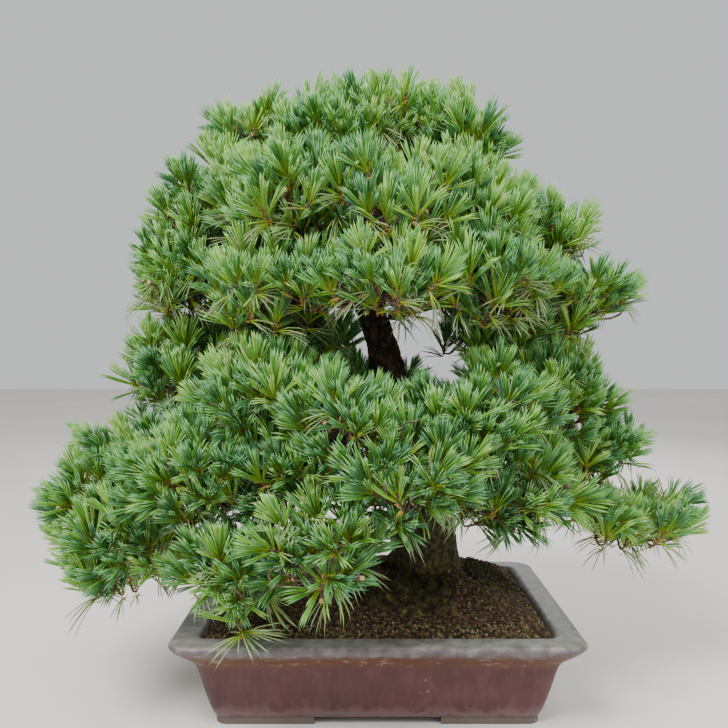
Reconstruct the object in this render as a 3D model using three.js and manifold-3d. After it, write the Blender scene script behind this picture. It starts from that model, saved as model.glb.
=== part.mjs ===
// A five-needle pine bonsai in an unglazed rectangular clay pot.
// Millimetres, +Z up. The origin is on the table, under the middle of the pot;
// the pot's long front side faces -Y.

import * as THREE from 'three';
import { mergeVertices } from 'three/addons/utils/BufferGeometryUtils.js';
import Module from 'manifold-3d';

const wasm = await Module();
wasm.setup();

// ---------------------------------------------------------------- driving dimensions

const GAP = 0.35; // clear space left between pieces that touch

const POT = {
  halfX: 210, // at the widest part of the lip
  halfY: 154.5,
  height: 96,
  corner: 17, // outline corner radius at the lip
  footHeight: 8,
  footWidth: 24, // thickness of the foot frame, from its outer face
  floorTop: 19,
  gapX: 65.5, // half length of the gap between the two front feet
  gapY: 42, // half length of the gap between the feet at each end
  drainX: 95, // drainage holes, left and right of the middle
  drainRadius: 17,
  wireHoleX: 42,
  wireHoleY: 52,
  wireHoleRadius: 3.5,
};

const SCREEN = { size: 48, thickness: 1.6, cells: 3, bar: 3 };
const CLIP = { radius: 1.1, leg: 13.5, reach: 26 }; // leg: from the hole's middle to each leg
const LAYER_TOP = 36;
const SOIL_EDGE = 91; // soil height along the pot's inner wall
const SOIL_MOUND = 145; // where the mound's slope would peak, inside the trunk
const SOIL_CORNER = 13; // a little rounder than the tray inside, so that it stays clear

const TRUNK_BASE = new THREE.Vector3(57, 2, 84);

const COLOUR = {
  pot: 0x5f4140,
  bark: 0x3b2c22,
  branch: 0x5a4a3c,
  soil: 0x33261c,
  grit: 0x8a8378,
  moss: 0x4c5a26,
  screen: 0x2b2f2e,
  clip: 0x9a6b4a,
  needles: 0x3f7a35,
};

// ---------------------------------------------------------------- solids and meshes

const bonsai = new THREE.Group();
bonsai.name = 'bonsai_tree_in_pot';

function toSolid(geometry) {
  const bare = geometry.clone();
  bare.deleteAttribute('normal');
  bare.deleteAttribute('uv');
  const merged = mergeVertices(bare, 1e-4);
  const mesh = new wasm.Mesh({
    numProp: 3,
    vertProperties: new Float32Array(merged.attributes.position.array),
    triVerts: new Uint32Array(merged.index.array),
  });
  return new wasm.Manifold(mesh);
}

// A cut can leave loose crumbs; the piece itself is the largest body.
function largestBody(solid) {
  return solid.decompose().reduce((best, body) => (body.volume() > best.volume() ? body : best));
}

function addPiece(name, solid, colour, roughness, metalness = 0) {
  const data = largestBody(solid).getMesh();
  const geometry = new THREE.BufferGeometry();
  geometry.setAttribute('position', new THREE.BufferAttribute(data.vertProperties, 3));
  geometry.setIndex(new THREE.BufferAttribute(data.triVerts, 1));
  geometry.computeVertexNormals();
  const material = new THREE.MeshStandardMaterial({ color: colour, roughness, metalness });
  const mesh = new THREE.Mesh(geometry, material);
  mesh.name = name;
  bonsai.add(mesh);
}

function box(lowX, highX, lowY, highY, lowZ, highZ) {
  const geometry = new THREE.BoxGeometry(highX - lowX, highY - lowY, highZ - lowZ);
  geometry.translate((lowX + highX) / 2, (lowY + highY) / 2, (lowZ + highZ) / 2);
  return toSolid(geometry);
}

function uprightCylinder(x, y, lowZ, highZ, radius, sides) {
  const geometry = new THREE.CylinderGeometry(radius, radius, highZ - lowZ, sides);
  geometry.rotateX(Math.PI / 2);
  geometry.translate(x, y, (lowZ + highZ) / 2);
  return toSolid(geometry);
}

// Moves every vertex of a unit cylinder to place(t, angle, rim): t runs 0 to 1 up the cylinder,
// and rim is 1 on its side and 0 at the middle of an end.
function reshapedCylinder(sides, rows, place) {
  const geometry = new THREE.CylinderGeometry(1, 1, 1, sides, rows);
  const position = geometry.attributes.position;
  for (let i = 0; i < position.count; i += 1) {
    const t = position.getY(i) + 0.5;
    const rim = Math.hypot(position.getX(i), position.getZ(i));
    const angle = Math.atan2(-position.getZ(i), position.getX(i));
    const point = place(t, angle, rim);
    position.setXYZ(i, point.x, point.y, point.z);
  }
  return toSolid(geometry);
}

// ---------------------------------------------------------------- rounded rectangles

const CORNER_STEPS = 5;
const OUTLINE_POINTS = 4 * (CORNER_STEPS + 1);

function roundedRectanglePoint(angle, halfX, halfY, corner) {
  const turn = (angle / (2 * Math.PI) + 1) % 1;
  const index = Math.round(turn * OUTLINE_POINTS) % OUTLINE_POINTS;
  const quadrant = Math.floor(index / (CORNER_STEPS + 1));
  const step = index % (CORNER_STEPS + 1);
  const bend = (quadrant + step / CORNER_STEPS) * (Math.PI / 2);
  const signX = quadrant === 0 || quadrant === 3 ? 1 : -1;
  const signY = quadrant < 2 ? 1 : -1;
  return new THREE.Vector2(
    signX * (halfX - corner) + corner * Math.cos(bend),
    signY * (halfY - corner) + corner * Math.sin(bend),
  );
}

// levels: [height, half length, corner radius] from the bottom up; the half depth follows the
// half length, because every wall of the tray leans and curves alike.
const DEPTH_LESS = POT.halfX - POT.halfY;

function tray(levels) {
  return reshapedCylinder(OUTLINE_POINTS, levels.length - 1, (t, angle, rim) => {
    const [height, halfX, corner] = levels[Math.round(t * (levels.length - 1))];
    const flat = roundedRectanglePoint(angle, halfX, halfX - DEPTH_LESS, corner);
    return new THREE.Vector3(flat.x * rim, flat.y * rim, height);
  });
}

// ---------------------------------------------------------------- pot

const OUTER_WALL = [
  [POT.footHeight, 168.6, 13],
  [13, 171.8, 14.5],
  [20, 174.2, 15],
  [30, 177, 15],
  [42, 180.2, 15],
  [54, 183, 15],
  [64, 186, 15],
  [70, 189, 15],
  [75, 193.4, 15],
  [80, 199.8, 16],
  [85, 205.6, POT.corner],
  [88, 208.6, POT.corner],
  [91, POT.halfX, POT.corner],
  [93.6, 209, POT.corner],
  [95.2, 206.8, 16],
  [POT.height, 203, 15],
];

const INNER_WALL = [
  [POT.floorTop, 160, 10],
  [24, 163, 11],
  [50, 168, 12],
  [72, 171, 12],
  [84, 176, 12],
  [91, 180, 12],
  [94.5, 183, 12],
  [POT.height + 4, 187, 12],
];

function innerHalfX(height) {
  const above = INNER_WALL.findIndex(([level]) => level >= height);
  const [highZ, highX] = INNER_WALL[Math.max(above, 1)];
  const [lowZ, lowX] = INNER_WALL[Math.max(above, 1) - 1];
  return THREE.MathUtils.mapLinear(height, lowZ, highZ, lowX, highX);
}

function makePot() {
  const footOuter = 168;
  const footInner = footOuter - POT.footWidth;
  const footTop = POT.footHeight + 2;
  let feet = tray([[0, footOuter - 1, 11], [1.2, footOuter, 12], [footTop, footOuter, 12]]);
  feet = feet.subtract(tray([[-1, footInner, 6], [footTop + 1, footInner, 6]]));
  feet = feet.subtract(box(-POT.gapX, POT.gapX, -POT.halfY, POT.halfY, -1, footTop + 1));
  feet = feet.subtract(box(-POT.halfX, POT.halfX, -POT.gapY, POT.gapY, -1, footTop + 1));
  let pot = tray(OUTER_WALL).add(feet).subtract(tray(INNER_WALL));
  for (const side of [-1, 1]) {
    const drain = uprightCylinder(side * POT.drainX, 0, 0, 40, POT.drainRadius, 24);
    pot = pot.subtract(drain);
    for (const row of [-1, 1]) {
      const x = side * POT.wireHoleX;
      pot = pot.subtract(uprightCylinder(x, row * POT.wireHoleY, 0, 40, POT.wireHoleRadius, 10));
    }
  }
  return pot;
}

addPiece('pot', makePot(), COLOUR.pot, 0.7);

// ---------------------------------------------------------------- screens and their clips

const SCREEN_LOW = POT.floorTop + GAP;
const SCREEN_TOP = SCREEN_LOW + SCREEN.thickness;

function screenGrid(x) {
  const half = SCREEN.size / 2;
  const pitch = (SCREEN.size - SCREEN.bar) / SCREEN.cells;
  let grid = null;
  for (let i = 0; i <= SCREEN.cells; i += 1) {
    const low = -half + i * pitch;
    const high = low + SCREEN.bar;
    const along = box(x - half, x + half, low, high, SCREEN_LOW, SCREEN_TOP);
    const across = box(x + low, x + high, -half, half, SCREEN_LOW, SCREEN_TOP);
    grid = grid ? grid.add(along).add(across) : along.add(across);
  }
  return grid;
}

function wireAlong(points, radius, sides, steps) {
  const path = new THREE.CatmullRomCurve3(points, false, 'centripetal');
  const section = new THREE.Shape();
  section.absarc(0, 0, radius, 0, 2 * Math.PI, false);
  const settings = { steps, extrudePath: path, curveSegments: sides, bevelEnabled: false };
  return toSolid(new THREE.ExtrudeGeometry(section, settings));
}

// A staple: down through the screen's outer cells and the hole, with its two legs bent
// outward under the pot's floor.
function clipWire(x, radius) {
  const { leg } = CLIP;
  const top = SCREEN_TOP + GAP + CLIP.radius;
  const under = POT.footHeight - GAP - CLIP.radius;
  const half = [
    new THREE.Vector3(0, 0, top),
    new THREE.Vector3(leg - 1.6, 0, top),
    new THREE.Vector3(leg, 0, top - 1.4),
    new THREE.Vector3(leg, 0, under + 2),
    new THREE.Vector3(leg + 2, 0, under),
    new THREE.Vector3(CLIP.reach, 0, under),
  ];
  const mirrored = half.slice(1).reverse().map((p) => new THREE.Vector3(-p.x, p.y, p.z));
  const route = [...mirrored, ...half].map((p) => new THREE.Vector3(p.x + x, p.y, p.z));
  return wireAlong(route, radius, 3, 26);
}

for (const [label, side] of [['left', -1], ['right', 1]]) {
  const x = side * POT.drainX;
  addPiece(`drain_screen_${label}`, screenGrid(x), COLOUR.screen, 0.6);
  addPiece(`screen_clip_${label}`, clipWire(x, CLIP.radius), COLOUR.clip, 0.4, 0.9);
}

// ---------------------------------------------------------------- tapering limbs

// A limb follows a smooth curve through its points, thinning from radii[0] at its start to the
// last radius at its tip, with slight swellings so that it isn't a plain cone.
function limb(points, radii, sides, rows, grow = 0) {
  const curve = new THREE.CatmullRomCurve3(points, false, 'centripetal');
  const frames = curve.computeFrenetFrames(rows, false);
  return reshapedCylinder(sides, rows, (t, angle, rim) => {
    const row = Math.round(t * rows);
    const place = t * (radii.length - 1);
    const low = Math.min(Math.floor(place), radii.length - 2);
    const plain = THREE.MathUtils.lerp(radii[low], radii[low + 1], place - low);
    const swelling = 1 + 0.06 * Math.sin(3 * angle + 5 * row) + 0.04 * Math.sin(2.3 * row);
    const radius = (plain * swelling + grow) * rim;
    const offset = frames.normals[row].clone().multiplyScalar(Math.cos(angle) * radius);
    offset.addScaledVector(frames.binormals[row], Math.sin(angle) * radius);
    return curve.getPointAt(t).add(offset);
  });
}

function at(x, y, z) {
  return new THREE.Vector3(x, y, z);
}

// ---------------------------------------------------------------- trunk

const TRUNK_LINE = [
  TRUNK_BASE,
  at(57, 0, 130),
  at(55, 0, 180),
  at(42, 2, 250),
  at(22, 4, 320),
  at(10, 4, 380),
  at(-10, 3, 440),
  at(-26, 2, 495),
  at(-14, 4, 570),
  at(10, 5, 640),
  at(24, 8, 672),
];
const TRUNK_RADII = [50, 41, 36, 30, 24, 19, 16, 13, 9, 6, 3.5];

// Surface roots: compass angle in degrees, reach and thickness where they leave the trunk.
const ROOTS = [
  [-170, 88, 19],
  [-128, 80, 15],
  [-82, 74, 17],
  [-38, 84, 15],
  [8, 74, 12],
  [58, 80, 13],
  [118, 84, 16],
];

function makeTrunk(grow) {
  let trunk = limb(TRUNK_LINE, TRUNK_RADII, 12, 20, grow);
  for (const [degrees, reach, thickness] of ROOTS) {
    const angle = THREE.MathUtils.degToRad(degrees);
    const along = (share, height) =>
      at(
        TRUNK_BASE.x + Math.cos(angle) * reach * share,
        TRUNK_BASE.y + Math.sin(angle) * reach * share,
        height,
      );
    const line = [along(0.12, 152), along(0.42, 130), along(0.72, 112), along(1, 94)];
    const radii = [thickness * 0.9, thickness, thickness * 0.72, thickness * 0.35];
    trunk = trunk.add(limb(line, radii, 7, 4, grow));
  }
  return trunk;
}

addPiece('trunk', makeTrunk(0), COLOUR.bark, 0.95);
const trunkRoom = makeTrunk(GAP);

// ---------------------------------------------------------------- soil and drainage layer

function rippled(x, y) {
  return 1.4 * Math.sin(x / 17 + 1) * Math.sin(y / 13) + 0.8 * Math.sin(x / 7 + y / 9);
}

// Rings of the soil block, as [height, share of the tray's width]: up the wall, then over the
// mound, drawing in towards the trunk.
const SOIL_RINGS = [
  [LAYER_TOP + GAP, 1],
  [50, 1],
  [72, 1],
  [84, 1],
  [SOIL_EDGE, 1],
  ...[0.9, 0.72, 0.54, 0.38, 0.26].map((share) => [
    THREE.MathUtils.lerp(SOIL_EDGE, SOIL_MOUND, (1 - share) ** 0.65),
    share,
  ]),
];

function soilBlock(lift) {
  return reshapedCylinder(OUTLINE_POINTS, SOIL_RINGS.length - 1, (t, angle, rim) => {
    const [height, share] = SOIL_RINGS[Math.round(t * (SOIL_RINGS.length - 1))];
    const halfX = innerHalfX(Math.min(height, SOIL_EDGE)) - GAP;
    const flat = roundedRectanglePoint(angle, halfX, halfX - DEPTH_LESS, SOIL_CORNER);
    const x = TRUNK_BASE.x * (1 - share) + flat.x * share * rim;
    const y = flat.y * share * rim;
    const rough = share < 1 ? rippled(x, y) : 0;
    const raised = height >= SOIL_EDGE ? lift : 0;
    return at(x, y, height + rough + raised);
  });
}

addPiece('soil', soilBlock(0).subtract(trunkRoom), COLOUR.soil, 1);

function makeDrainageLayer() {
  const low = POT.floorTop + GAP;
  const levels = [low, 24, LAYER_TOP].map((z) => [z, innerHalfX(z) - GAP, SOIL_CORNER]);
  let layer = tray(levels);
  for (const side of [-1, 1]) {
    const x = side * POT.drainX;
    const half = SCREEN.size / 2 + GAP;
    layer = layer.subtract(box(x - half, x + half, -half, half, low - 1, SCREEN_TOP + GAP));
    const wireTop = SCREEN_TOP + 3 * GAP + 2 * CLIP.radius;
    const wireReach = CLIP.leg + 2 * CLIP.radius;
    layer = layer.subtract(box(x - wireReach, x + wireReach, -2, 2, low - 1, wireTop));
  }
  return layer;
}

addPiece('drainage_layer', makeDrainageLayer(), COLOUR.grit, 0.9);

// ---------------------------------------------------------------- moss

// A patch of moss is a sheet that follows the ground: name, middle x and y, half length, half
// width.
const MOSS_THICKNESS = 5;
const MOSS = [
  ['moss_front', 30, -70, 62, 30],
  ['moss_left', -38, 6, 36, 54],
  ['moss_right', 134, 2, 32, 56],
];

const soilRoom = soilBlock(GAP);
const mossSkin = soilBlock(GAP + MOSS_THICKNESS).subtract(soilRoom).subtract(trunkRoom);

for (const [name, x, y, halfX, halfY] of MOSS) {
  const column = reshapedCylinder(14, 1, (t, angle, rim) => {
    const wavy = rim * (1 + 0.12 * Math.sin(3 * angle + x));
    const height = THREE.MathUtils.lerp(SOIL_EDGE, SOIL_MOUND + 10, t);
    return at(x + Math.cos(angle) * halfX * wavy, y + Math.sin(angle) * halfY * wavy, height);
  });
  addPiece(name, mossSkin.intersect(column), COLOUR.moss, 1);
}

// ---------------------------------------------------------------- foliage pads and branches

// Each pad is a clump of needle bundles: middle [x, y, z] and half sizes [x, y, z].
const PADS = {
  crown_top: { middle: [14, 10, 653], half: [62, 66, 46] },
  crown_left: { middle: [-52, -14, 625], half: [64, 66, 43] },
  crown_left_tip: { middle: [-140, 0, 638], half: [44, 42, 30] },
  crown_right: { middle: [95, 16, 628], half: [58, 66, 43] },
  upper_back: { middle: [30, 100, 594], half: [90, 62, 54] },
  upper_left_outer: { middle: [-186, 10, 557], half: [76, 74, 61] },
  upper_left_front: { middle: [-98, -84, 552], half: [74, 70, 56] },
  upper_front: { middle: [12, -112, 540], half: [70, 62, 58] },
  upper_right_front: { middle: [104, -46, 542], half: [68, 76, 57] },
  upper_left_tip: { middle: [-222, 24, 478], half: [84, 78, 52] },
  upper_back_left: { middle: [-110, 116, 508], half: [96, 74, 58] },
  upper_back_right: { middle: [136, 104, 486], half: [98, 76, 56] },
  middle_front_left: {
    middle: [-116, -104, 450],
    half: [76, 72, 48],
    beside: { middle: [-78, -24, 404], half: [60, 60, 38] },
  },
  middle_front: { middle: [4, -146, 452], half: [62, 58, 43] },
  middle_front_right: {
    middle: [120, -92, 460],
    half: [76, 72, 52],
    beside: { middle: [130, -14, 408], half: [60, 60, 38] },
  },
  upper_right_tip: {
    middle: [228, 6, 447],
    half: [82, 78, 47],
    beside: { middle: [207, 18, 514], half: [66, 62, 48] },
  },
  middle_left: {
    middle: [-239, 50, 356],
    half: [86, 80, 60],
    beside: { middle: [-258, 4, 278], half: [84, 72, 46] },
  },
  back_middle_left: { middle: [-136, 128, 394], half: [108, 66, 44] },
  back_middle_right: { middle: [214, 116, 398], half: [62, 62, 44] },
  lower_left_upper: { middle: [-116, -108, 338], half: [76, 72, 50] },
  lower_centre_upper: { middle: [-34, -164, 316], half: [56, 56, 44] },
  lower_right_upper: { middle: [102, -120, 327], half: [76, 72, 52] },
  middle_right: { middle: [197, 0, 330], half: [82, 84, 60] },
  back_left: { middle: [-150, 136, 290], half: [110, 86, 62] },
  back_right: {
    middle: [124, 168, 270],
    half: [104, 86, 62],
    beside: { middle: [-6, 158, 338], half: [86, 66, 44] },
  },
  lower_left_front: { middle: [-190, -130, 264], half: [76, 70, 52] },
  lower_left_tip: { middle: [-304, -24, 217], half: [82, 76, 52] },
  lower_left_hanging: { middle: [-270, -100, 170], half: [72, 70, 48] },
  lower_front_hanging: { middle: [-144, -156, 166], half: [54, 56, 49] },
  lower_front: {
    middle: [-54, -190, 197],
    half: [68, 60, 54],
    beside: { middle: [-92, -128, 262], half: [62, 60, 46] },
  },
  lower_centre: { middle: [30, -188, 268], half: [62, 62, 50] },
  lower_right_front: { middle: [135, -108, 239], half: [84, 74, 63] },
  lower_right_tip: {
    middle: [295, 14, 191],
    half: [86, 84, 42],
    beside: { middle: [248, 16, 263], half: [70, 66, 44] },
  },
};

// Each branch leaves the trunk at a height with a thickness, runs through its route and ends
// in the middle of its first pad; a side limb goes from the route to each other pad.
const BRANCHES = {
  branch_low_left: {
    leaves: 222,
    thickness: 10,
    route: [at(-40, -22, 235), at(-150, -40, 236)],
    pads: ['lower_left_tip', 'lower_left_hanging', 'lower_left_front'],
  },
  branch_low_front: {
    leaves: 205,
    thickness: 9,
    route: [at(15, -80, 208), at(-20, -140, 206)],
    pads: ['lower_front', 'lower_front_hanging'],
  },
  branch_low_right: {
    leaves: 248,
    thickness: 10,
    route: [at(110, -12, 250), at(190, 0, 236)],
    pads: ['lower_right_tip', 'lower_right_front'],
  },
  branch_centre_front: {
    leaves: 268,
    thickness: 7,
    route: [at(38, -70, 268), at(34, -130, 270)],
    pads: ['lower_centre'],
  },
  branch_low_back: {
    leaves: 240,
    thickness: 10,
    route: [at(40, 60, 252), at(30, 110, 262)],
    pads: ['back_right', 'back_left'],
  },
  branch_middle_left: {
    leaves: 345,
    thickness: 8,
    route: [at(-60, 12, 352), at(-160, 34, 362)],
    pads: ['middle_left', 'back_middle_left'],
  },
  branch_middle_front: {
    leaves: 318,
    thickness: 8,
    route: [at(-8, -60, 326), at(-30, -104, 330)],
    pads: ['lower_left_upper', 'lower_centre_upper'],
  },
  branch_middle_right: {
    leaves: 330,
    thickness: 8,
    route: [at(80, -20, 336), at(140, -12, 336)],
    pads: ['middle_right', 'back_middle_right', 'lower_right_upper'],
  },
  branch_upper_left: {
    leaves: 436,
    thickness: 6.5,
    route: [at(-90, 12, 446), at(-150, 20, 470)],
    pads: ['upper_left_tip', 'upper_left_outer'],
  },
  branch_upper_front_left: {
    leaves: 452,
    thickness: 7,
    route: [at(-52, -50, 462), at(-76, -74, 478)],
    pads: ['middle_front_left', 'upper_left_front'],
  },
  branch_upper_right: {
    leaves: 420,
    thickness: 6.5,
    route: [at(70, 6, 438), at(150, 2, 462)],
    pads: ['upper_right_tip', 'middle_front_right', 'upper_right_front'],
  },
  branch_upper_front: {
    leaves: 482,
    thickness: 6,
    route: [at(-8, -50, 486), at(4, -90, 480)],
    pads: ['middle_front', 'upper_front'],
  },
  branch_upper_back: {
    leaves: 465,
    thickness: 7,
    route: [at(-4, 56, 476), at(10, 80, 484)],
    pads: ['upper_back_right', 'upper_back_left', 'upper_back'],
  },
  branch_crown_left: {
    leaves: 590,
    thickness: 5,
    route: [at(-40, -4, 612), at(-96, 0, 634)],
    pads: ['crown_left_tip', 'crown_left'],
  },
  branch_crown_right: {
    leaves: 606,
    thickness: 4.5,
    route: [at(44, 8, 618), at(76, 12, 628)],
    pads: ['crown_right'],
  },
};

// The trunk's middle line where it reaches a height.
function trunkAt(height) {
  const above = TRUNK_LINE.findIndex((point) => point.z >= height);
  const low = TRUNK_LINE[above - 1];
  const high = TRUNK_LINE[above];
  return low.clone().lerp(high, (height - low.z) / (high.z - low.z));
}

// A pad's shoots start below its middle, so limbs aim there.
function heart({ middle, half }) {
  return at(middle[0], middle[1], middle[2] - half[2] * 0.3);
}

function makeBranch({ leaves, thickness, route, pads }, grow) {
  const line = [trunkAt(leaves), ...route, heart(PADS[pads[0]])];
  const radii = [thickness, thickness * 0.8, thickness * 0.62, 2.4];
  let branch = limb(line, radii, 6, 9, grow);
  const goals = pads.slice(1).map((pad) => heart(PADS[pad]));
  for (const { beside } of pads.map((pad) => PADS[pad])) {
    if (beside) goals.push(heart(beside));
  }
  goals.forEach((goal, order) => {
    const fork = order === 0 ? route[route.length - 1] : route[0];
    const bend = fork.clone().lerp(goal, 0.5).add(at(0, 0, -6));
    const side = limb([fork, bend, goal], [thickness * 0.5, thickness * 0.4, 2], 5, 5, grow);
    branch = branch.add(side);
  });
  return branch;
}

const branchRoom = {};
let earlier = trunkRoom;
for (const [name, plan] of Object.entries(BRANCHES)) {
  addPiece(name, makeBranch(plan, 0).subtract(earlier), COLOUR.branch, 0.9);
  branchRoom[name] = makeBranch(plan, GAP);
  earlier = earlier.add(branchRoom[name]);
}
const woodRoom = earlier;

// A lump is a bumpy cushion, flatter below than above.
function makeLump({ middle, half }, grow) {
  const geometry = new THREE.IcosahedronGeometry(1, 2);
  const position = geometry.attributes.position;
  const point = new THREE.Vector3();
  for (let i = 0; i < position.count; i += 1) {
    point.fromBufferAttribute(position, i).normalize();
    const seed = middle[0] * 0.07 + middle[2] * 0.05;
    const lumps = Math.sin(5 * point.x + seed) * Math.sin(5 * point.y - seed)
      + Math.sin(6 * point.z + 3 * point.x + seed);
    const swell = 0.97 + 0.05 * lumps;
    const flatten = point.z < 0 ? 0.88 : 1;
    position.setXYZ(
      i,
      middle[0] + point.x * (half[0] * swell + grow),
      middle[1] + point.y * (half[1] * swell + grow),
      middle[2] + point.z * (half[2] * swell * flatten + grow),
    );
  }
  return toSolid(geometry);
}

// A pad is one lump, or two that have grown together.
function makePad(plan, grow) {
  const lump = makeLump(plan, grow);
  return plan.beside ? lump.add(makeLump(plan.beside, grow)) : lump;
}

let taken = woodRoom;
for (const [name, plan] of Object.entries(PADS)) {
  addPiece(`foliage_${name}`, makePad(plan, 0).subtract(taken), COLOUR.needles, 0.8);
  taken = taken.add(makePad(plan, GAP));
}

export default bonsai;
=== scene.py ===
# %% [markdown]
# # A five-needle pine bonsai in a clay tray
#
# The tree is built the way a grower sees it: a tray and its soil, a trunk, branches, twigs, and
# on the end of every twig a brush of needles in bundles of five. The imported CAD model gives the
# place and size of each of these, and every step below dresses one of them.

# %% Load the CAD frame
import math
import random

import bmesh
import bpy
from mathutils import Matrix, Vector, noise
from mathutils.bvhtree import BVHTree


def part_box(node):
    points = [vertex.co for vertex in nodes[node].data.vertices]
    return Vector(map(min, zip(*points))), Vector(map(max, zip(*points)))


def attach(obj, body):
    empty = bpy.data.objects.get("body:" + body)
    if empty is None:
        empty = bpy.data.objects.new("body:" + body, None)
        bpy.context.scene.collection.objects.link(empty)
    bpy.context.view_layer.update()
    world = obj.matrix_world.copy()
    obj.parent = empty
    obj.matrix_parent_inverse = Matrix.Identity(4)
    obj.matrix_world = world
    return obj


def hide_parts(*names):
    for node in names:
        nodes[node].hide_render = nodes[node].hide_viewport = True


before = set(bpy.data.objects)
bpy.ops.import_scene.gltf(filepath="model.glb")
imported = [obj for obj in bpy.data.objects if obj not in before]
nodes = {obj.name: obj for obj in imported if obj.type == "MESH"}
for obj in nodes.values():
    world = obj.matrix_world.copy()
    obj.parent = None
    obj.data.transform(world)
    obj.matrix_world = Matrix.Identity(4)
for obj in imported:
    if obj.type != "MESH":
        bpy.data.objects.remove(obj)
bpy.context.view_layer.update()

MM = 0.001
FULL_TURN = 6.28  # radians, near enough for a random roll
PAD_PREFIX = "foliage_"
pads = sorted(name for name in nodes if name.startswith(PAD_PREFIX))
branches = sorted(name for name in nodes if name.startswith("branch_"))
print("pads", len(pads), "branches", len(branches))

# %% [markdown]
# ## Small helpers
#
# Colours are written as sRGB hex values, because that is how paint swatches are given, and turned
# to linear light once. One function adds a shader node with its settings and links; one makes an
# object from a finished mesh and tells the frame what it stands for.

# %% Helpers


def linear(hex_colour):
    parts = [int(hex_colour[i:i + 2], 16) / 255 for i in (1, 3, 5)]
    bent = [p / 12.92 if p <= 0.04045 else ((p + 0.055) / 1.055) ** 2.4 for p in parts]
    return (*bent, 1.0)


def add(tree, kind, inputs=None, **settings):
    node = tree.nodes.new(kind)
    for name, value in settings.items():
        setattr(node, name, value)
    for socket, value in (inputs or {}).items():
        if isinstance(value, bpy.types.NodeSocket):
            tree.links.new(value, node.inputs[socket])
        else:
            node.inputs[socket].default_value = value
    return node


def ramp(tree, factor, stops):
    node = add(tree, "ShaderNodeValToRGB", {"Fac": factor})
    elements = node.color_ramp.elements
    while len(elements) < len(stops):
        elements.new(0.5)
    for element, (place, hex_colour) in zip(elements, stops):
        element.position = place
        element.color = linear(hex_colour)
    return node.outputs["Color"]


def mixed(tree, factor, first, second):
    node = add(tree, "ShaderNodeMix", data_type="RGBA")
    for index, value in ((0, factor), (6, first), (7, second)):
        if isinstance(value, bpy.types.NodeSocket):
            tree.links.new(value, node.inputs[index])
        else:
            node.inputs[index].default_value = value
    return node.outputs[2]


def start_material(name, roughness, **shader_settings):
    material = bpy.data.materials.new(name)
    material.use_nodes = True
    tree = material.node_tree
    shader = tree.nodes["Principled BSDF"]
    shader.inputs["Roughness"].default_value = roughness
    for socket, value in shader_settings.items():
        shader.inputs[socket.replace("_", " ")].default_value = value
    return material, tree, shader


def object_place(tree):
    return add(tree, "ShaderNodeTexCoord").outputs["Object"]


def patches(tree, place, size_mm, detail=2.0, rough=0.55):
    """Cloudy noise whose blotches are about size_mm across."""
    settings = {"Vector": place, "Scale": 1 / (size_mm * MM), "Detail": detail, "Roughness": rough}
    return add(tree, "ShaderNodeTexNoise", settings).outputs["Fac"]


def bump(tree, shader, height, depth_mm, strength):
    node = add(tree, "ShaderNodeBump", {"Height": height, "Strength": strength,
                                        "Distance": depth_mm * MM})
    tree.links.new(node.outputs["Normal"], shader.inputs["Normal"])


def place_piece(name, mesh, material, stands_for=()):
    piece = bpy.data.objects.new(name, mesh)
    bpy.context.scene.collection.objects.link(piece)
    mesh.materials.clear()
    mesh.materials.append(material)
    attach(piece, "root")
    if stands_for:
        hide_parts(*stands_for)
    return piece


def mesh_from(bm, name, smooth=True, sharp_degrees=None):
    mesh = bpy.data.meshes.new(name)
    bm.to_mesh(mesh)
    bm.free()
    if smooth:
        mesh.shade_smooth()
    if sharp_degrees is not None:
        mesh.set_sharp_from_angle(angle=math.radians(sharp_degrees))
    return mesh


def with_modifiers(mesh, *modifiers):
    """The mesh after a stack of modifiers, each given as (type, settings)."""
    carrier = bpy.data.objects.new("carrier", mesh)
    bpy.context.scene.collection.objects.link(carrier)
    for kind, settings in modifiers:
        modifier = carrier.modifiers.new(kind, kind)
        for name, value in settings.items():
            setattr(modifier, name, value)
    shaped = carrier.evaluated_get(bpy.context.evaluated_depsgraph_get())
    result = bpy.data.meshes.new_from_object(shaped)
    bpy.data.objects.remove(carrier)
    return result


def stamp(bm, mesh, matrix):
    """Adds a moved copy of a small mesh to a growing one."""
    copy = mesh.copy()
    copy.transform(matrix)
    bm.from_mesh(copy)
    bpy.data.meshes.remove(copy)


def turned_to(direction, roll):
    """Turns a shape's Z to a direction, after rolling the shape about its Z."""
    return direction.to_track_quat("Z", "Y").to_matrix().to_4x4() @ Matrix.Rotation(roll, 4, "Z")


# %% [markdown]
# ## The camera, the light and the floor
#
# The tree is seen from just above the middle of its height, a little under a metre away, so the
# rim of the tray shows as a narrow trapezoid and the crown is seen slightly from below. The floor
# is plain and pale. The main light is a big soft disc above, in front and to the left, as from an
# open sky. A weak one on the right opens the shadows, and one behind draws the crown's edge.

# %% Camera, light and floor
camera_data = bpy.data.cameras.new("camera")
camera = bpy.data.objects.new("camera", camera_data)
bpy.context.scene.collection.objects.link(camera)
bpy.context.scene.camera = camera
LOOKING_DOWN = 1.43  # degrees below level
camera.location = (-0.0139, -0.912, 0.392)
camera.rotation_euler = (math.radians(90 - LOOKING_DOWN), 0, 0)
camera_data.sensor_width = 36.0
camera_data.lens = 38.76923  # millimetres, which sees 50 degrees across
camera_data.clip_start = 0.01

world = bpy.data.worlds.new("pale_sky")
bpy.context.scene.world = world
world.use_nodes = True
world.node_tree.nodes["Background"].inputs["Color"].default_value = (0.97, 0.98, 1.0, 1)
world.node_tree.nodes["Background"].inputs["Strength"].default_value = 0.72


def soft_light(name, place, target, size, watts):
    data = bpy.data.lights.new(name, "AREA")
    data.shape = "DISK"
    data.size = size
    data.energy = watts
    light = bpy.data.objects.new(name, data)
    light.location = place
    light.rotation_euler = (Vector(target) - Vector(place)).to_track_quat("-Z", "Y").to_euler()
    bpy.context.scene.collection.objects.link(light)


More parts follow.
